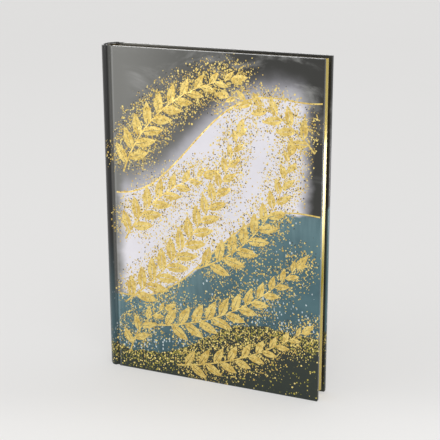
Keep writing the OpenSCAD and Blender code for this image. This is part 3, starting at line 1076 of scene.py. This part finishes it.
def pasted_endpaper(side):
    """The half that is pasted to the cover, from its fold at the shoulder and through the joint.

    It runs over the board's edge and across its inner face, where it sinks behind the ends of the
    turn-ins. Rows and columns lie closer where it bends.
    """
    on_turn_in = TURNED_BACK - SEAT
    joint_xs = steps_between(CREST_X - 0.05, BOARD_X - 0.35, 34)
    path = [(x, sheet_y(x) - 2 * WRAP_T) for x in joint_xs]
    top_y = path[-1][1]
    path += [(BOARD_X - 0.22, top_y - 0.06), (BOARD_X - 0.13, top_y - 0.2)]
    path += [(BOARD_X - 0.11, y) for y in steps_between(top_y - 0.6, on_turn_in + 0.35, 5)]
    path += [(BOARD_X - 0.04, on_turn_in + 0.08), (BOARD_X + 0.12, on_turn_in)]
    ledge_x = CASE_W - TURN_IN
    flat_xs = steps_between(BOARD_X + 0.5, ledge_x - 1.5, 26)
    flat_xs += steps_between(ledge_x - 1.1, ledge_x + 0.9, 5)
    flat_xs += steps_between(ledge_x + 2.5, CASE_W - PASTE_INSET, 4)
    path += [(x, on_turn_in) for x in flat_xs]
    low = steps_between(PASTE_INSET, TURN_IN - 1.2, 4) + steps_between(TURN_IN - 0.8, TURN_IN + 0.8, 4)
    middle = steps_between(TURN_IN + 1.4, CASE_H - TURN_IN - 1.4, 26)
    heights = low + middle + [CASE_H - z for z in reversed(low)]

    def sink(x, y, z):
        if y > on_turn_in + 0.5:
            return 0
        inside = eased(min(z, CASE_H - z), TURN_IN - 0.6, TURN_IN + 0.8)
        return (WRAP_T - SEAT) * inside * (1 - eased(x, ledge_x - 0.8, ledge_x + 0.6))

    paper = endpaper_half(SIDE_NAME[side] + "_pasted_endpaper", path, heights, side, sink)
    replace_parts(paper, SIDE_NAME[side] + "_pastedown")
    bend_with_cover(paper, side)


def loose_flyleaf(side):
    """The free half, from its fold at the shoulder down the slope and over the pages."""
    lift = ENDPAPER_T + SEAT
    across = unit(SHOULDER_H, SHOULDER_RUN * SHOULDER_H)
    top = (CREST_X + lift * across[0], CREST_Y + lift * across[1])
    foot = (SLOPE_X + 0.07, TEXT_Y + lift)
    path = [(CREST_X - 0.14, CREST_Y + 0.6 * lift), (CREST_X, CREST_Y + 0.95 * lift)]
    for t in steps_between(0.04, 0.88, 7):
        path.append((top[0] + (foot[0] - top[0]) * t, top[1] + (foot[1] - top[1]) * t))
    path += [(foot[0] + x, foot[1] + y) for x, y in ((-0.08, 0.075), (0.1, 0.02), (0.35, 0))]
    path += [(x, foot[1]) for x in steps_between(foot[0] + 1.5, FORE_X, 30)]
    heights = steps_between(SQUARE_END, CASE_H - SQUARE_END, 40)
    name = SIDE_NAME[side] + "_loose_flyleaf"
    paper = endpaper_half(name, path, heights, side, lambda x, y, z: 0)
    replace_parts(paper, SIDE_NAME[side] + "_flyleaf")
    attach(paper, "block")


def behind_block(radius, share, z):
    """A point behind the rounded back of the pages, by its radius and its share of the way round."""
    turn = BLOCK_A * (2 * share - 1)
    return in_frame(BLOCK_CX - radius * math.cos(turn), radius * math.sin(turn), z, BACK)


def close_ends():
    bpy.ops.mesh.select_all(action="DESELECT")
    bpy.ops.mesh.select_non_manifold()
    bpy.ops.mesh.fill()


def stitched_band(name, end):
    """A headband: silk worked over a core on an end of the pages, and a cloth tongue on their back."""
    base = CASE_H - SQUARE_END if end > 0 else SQUARE_END
    core_r = BEAD_D / 2
    core_radius = BLOCK_R + LINING_T - core_r
    columns = STITCHES * COLUMNS_A_STITCH + 1

    def bead_place(column, row):
        share = column / (columns - 1)
        stitch = STITCHES * share
        angle = 2 * math.pi * row / BEAD_SIDES
        wrap = abs(math.sin(math.pi * (stitch + STITCH_SLANT * row / BEAD_SIDES)))
        worked = core_r * (1 - STITCH_DEPTH + STITCH_DEPTH * wrap)
        up = base + end * (core_r + worked * math.sin(angle))
        return behind_block(core_radius + worked * math.cos(angle), share, up), stitch

    bead = bent_grid("bead", columns, BEAD_SIDES + 1, bead_place, "stitch")
    welded(bead, BEAD_WELD)
    edited(bead, close_ends, make_faces_agree)
    dressed(bead, BAND_SILK)

    def tongue_place(column, row):
        down = TONGUE_H - (TONGUE_H + 0.5 * BEAD_D) * row / TONGUE_ROWS
        return behind_block(BLOCK_R + LINING_T - SEAT, column / TONGUE_COLUMNS, base - end * down)

    tongue = bent_grid("tongue", TONGUE_COLUMNS + 1, TONGUE_ROWS + 1, tongue_place)
    turned_out(tongue, Vector((-1, 0, 0)))
    thickened(tongue, LINING_T - 2 * SEAT)
    dressed(tongue, LINING)
    band = joined(name, [bead, tongue])
    smoothed(band, 60)
    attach(band, "block")
    return band


def glued_lining():
    """Open cloth glued on the back of the pages, between the two headbands."""
    low = SQUARE_END + TONGUE_H + LINING_GAP
    heights = steps_between(low, CASE_H - low, LINING_STEPS)

    def place(column, row):
        return behind_block(BLOCK_R + LINING_T, column / LINING_STEPS, heights[row])

    lining = bent_grid("glued_lining", LINING_STEPS + 1, LINING_STEPS + 1, place)
    turned_out(lining, Vector((-1, 0, 0)))
    thickened(lining, LINING_T - SEAT)
    smoothed(lining)
    dressed(lining, LINING)
    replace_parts(lining, "spine_lining")
    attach(lining, "block")


# Building the journal

dressed(nodes["text_block"], GILT)
for board in ("front_board", "back_board", "spine_strip"):
    dressed(nodes[board], GREYBOARD)

for make in (printed_sheet, stamped_foil, pasted_endpaper, loose_flyleaf):
    for side in (FRONT, BACK):
        make(side)
glued_lining()
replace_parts(stitched_band("stitched_headband", 1), "headband")
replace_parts(stitched_band("stitched_tailband", -1), "tailband")


# Floor, light and camera

BACKDROP = (0.800, 0.792, 0.780, 1)
NEAR_FLOOR = (0.950, 0.940, 0.925, 1)
FAR_FLOOR = (0.870, 0.860, 0.848, 1)


def camera_and_mirror_rays(build):
    path = build.node("LightPath")
    ray = build.math("ADD", path.outputs["Is Camera Ray"], path.outputs["Is Glossy Ray"], clamp=True)
    return build.math("ADD", ray, path.outputs["Is Transmission Ray"], clamp=True)


def floor_material():
    """Pale paper floor, half lit and half its own plain tone for the camera, so that it stays even.

    The plain tone is lighter along the floor towards the side that the journal is seen from.
    """
    material, build, surface = new_material("pale_floor")
    tone = build.noise(build.object_place(), 3.0, 2.0)
    build.fill(
        surface,
        Base_Color=build.mix(tone, (0.745, 0.740, 0.735, 1), (0.765, 0.760, 0.755, 1)),
        Roughness=0.9,
        Specular_IOR_Level=0.1,
    )
    beside, behind, _ = build.parts(build.object_place())
    in_front = build.times_plus(beside, 0.38, build.times(behind, -0.92))
    near_and_far = build.mix(build.span(in_front, 0.012, 0.085), BACKDROP, NEAR_FLOOR)
    near_and_far = build.mix(build.span(behind, 0.3, 3.0), near_and_far, FAR_FLOOR)
    plain = build.fill(build.node("Emission"), Color=near_and_far, Strength=1.0)
    build.show(build.mix_shaders(build.times(camera_and_mirror_rays(build), 0.5), surface, plain))
    return material


def studio():
    bpy.ops.mesh.primitive_plane_add(size=14, location=(0, 3, 0))
    floor = bpy.context.object
    floor.name = "floor"
    bpy.ops.object.transform_apply(location=True, rotation=False, scale=False)
    dressed(floor, floor_material())

    world = bpy.data.worlds.new("studio")
    bpy.context.scene.world = world
    world.use_nodes = True
    build = Builder(world.node_tree)
    light = build.fill(world.node_tree.nodes["Background"], Color=(1, 1, 1, 1), Strength=0.80)
    seen = build.fill(build.node("Background"), Color=BACKDROP)
    build.show(build.mix_shaders(camera_and_mirror_rays(build), light, seen), "World Output")


def aimed(piece, place, target, axis):
    """Places a lamp or a card, unseen by the camera, with one of its axes to its target."""
    piece.location = place
    piece.rotation_euler = (Vector(target) - Vector(place)).to_track_quat(axis, "Y").to_euler()
    piece.visible_camera = False


def softbox(name, place, target, size, watts):
    lamp = bpy.data.lights.new(name, "AREA")
    lamp.shape = "RECTANGLE"
    lamp.size, lamp.size_y = size
    lamp.energy = watts
    holder = bpy.data.objects.new(name, lamp)
    bpy.context.collection.objects.link(holder)
    aimed(holder, place, target, "-Z")


def reflector(name, place, target, size, strength, dark_at, bright_at, curve):
    """A white card that only shiny surfaces show: it adds no light to the rest.

    It fades out downwards along a power curve, from full at the height bright_at to nothing at dark_at.
    """
    bpy.ops.mesh.primitive_plane_add(size=1)
    card = bpy.context.object
    card.name = name
    card.dimensions = (*size, 0)
    aimed(card, place, target, "Z")
    bpy.ops.object.transform_apply(location=True, rotation=True, scale=True)
    material, build, _ = new_material(name)
    height = build.parts(build.object_place())[2]
    glowing = build.math("POWER", build.span(height, dark_at, bright_at), curve)
    glow = build.fill(build.node("Emission"), Strength=build.times(glowing, strength))
    build.show(glow.outputs[0])
    dressed(card, material)
    card.visible_diffuse = False
    card.visible_shadow = False
    card.visible_transmission = False


def camera():
    seen = bpy.data.cameras.new("camera")
    seen.lens = 89.1
    seen.sensor_width = 36
    seen.shift_x = -0.0315
    seen.shift_y = -0.0793
    holder = bpy.data.objects.new("camera", seen)
    bpy.context.collection.objects.link(holder)
    holder.location = (0.257, -0.5856, 0.3058)
    holder.rotation_euler = (math.radians(90 - 15.605), 0, math.radians(22.535))
    bpy.context.scene.camera = holder


studio()
reflector(
    "card_behind", (-0.55, 1.15, 0.42), (0, 0, 0.21), (1.0, 0.36),
    strength=6.5, dark_at=0.12, bright_at=0.72, curve=1.0,
)
reflector(
    "card_beside", (0.2075, 0.0653, 0.063), (0.0725, 0, 0.063), (0.17, 0.118),
    strength=10.0, dark_at=-0.010, bright_at=0.100, curve=2.2,
)
softbox("left_softbox", (-1.25, -1.25, 0.40), (0, 0, 0.1), (0.9, 0.75), 7)
softbox("high_softbox", (0.6, -1.2, 2.2), (0, 0, 0.1), (1.4, 1.4), 14)
camera()
bpy.context.scene.view_settings.view_transform = "Standard"
